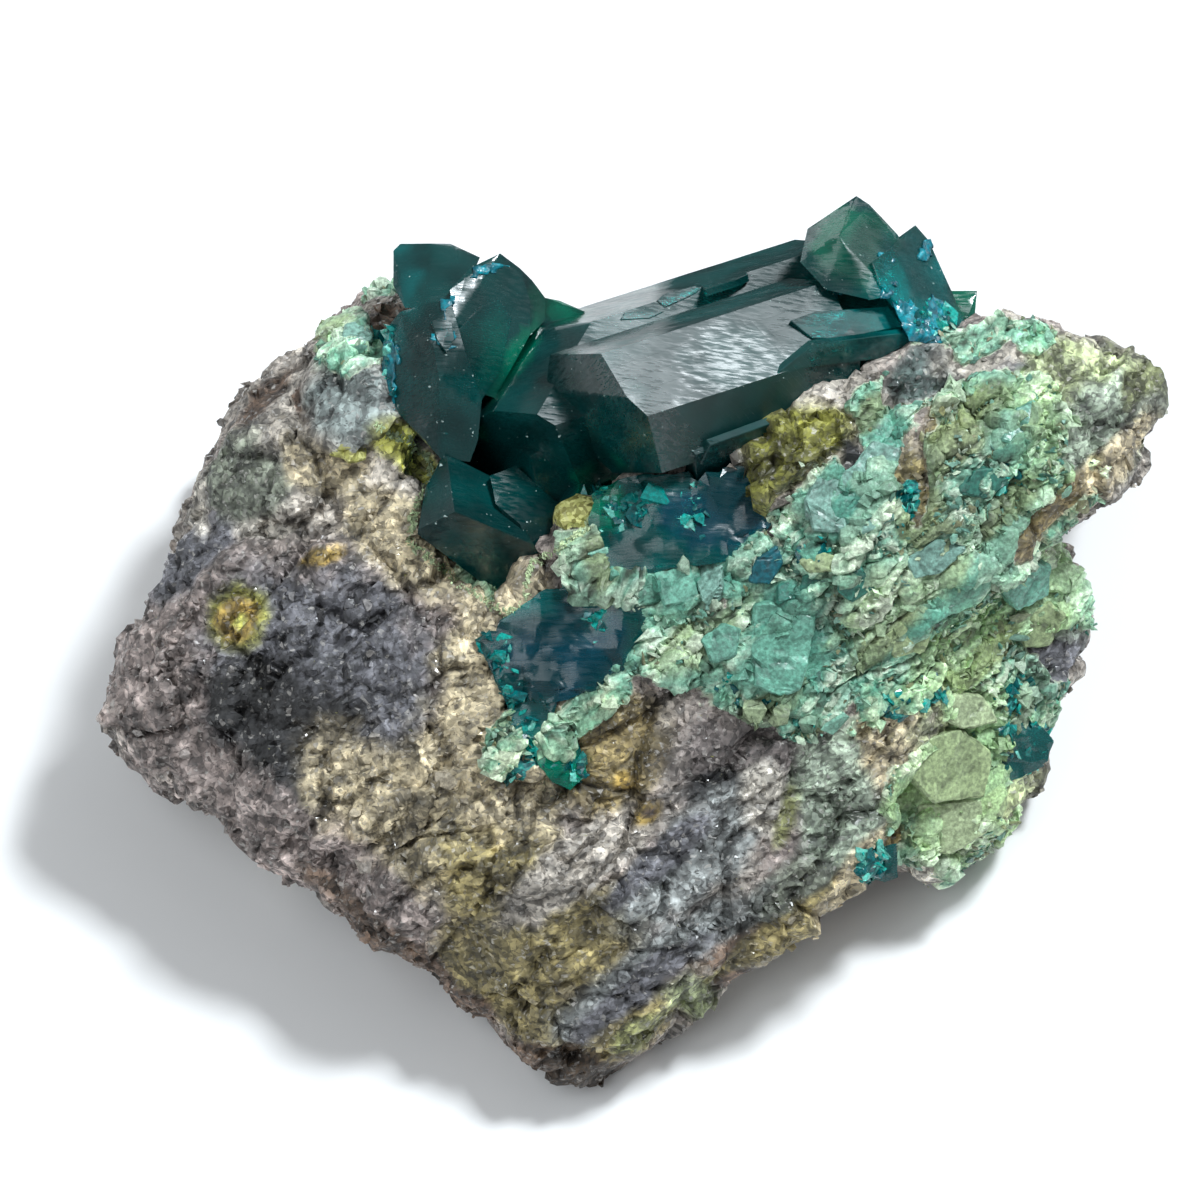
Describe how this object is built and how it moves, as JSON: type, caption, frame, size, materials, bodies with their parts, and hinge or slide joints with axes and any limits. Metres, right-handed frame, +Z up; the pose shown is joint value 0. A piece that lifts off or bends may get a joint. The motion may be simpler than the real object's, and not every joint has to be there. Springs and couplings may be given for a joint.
{
  "type": "dioptase mineral specimen",
  "caption": "Mineral specimen: dark blue-green dioptase prisms grown in a hollow of rough grey and mint-green quartz rock, flat underneath to rest on a shelf.",
  "frame": {"origin": "on the flat underside, under the middle of the view from the front", "axes": "+Z up, away from the surface it rests on; the specimen is looked down on from the -Y side; +X to the right, along its longest side"},
  "size_m": [0.0532, 0.0434, 0.0269],
  "materials": {
    "rock": "rough broken quartz rock, grey to mint green, matte with small glints",
    "crystal": "polished natural faces, deep blue-green, see-through where thin"
  },
  "bodies": {
    "root": {"matrix": "rock", "crystal_cluster": "crystal", "ledge_crystal": "crystal", "rim_crystal": "crystal", "slope_crystal": "crystal", "edge_crystal": "crystal", "foot_crystal": "crystal"}
  },
  "joints": []
}
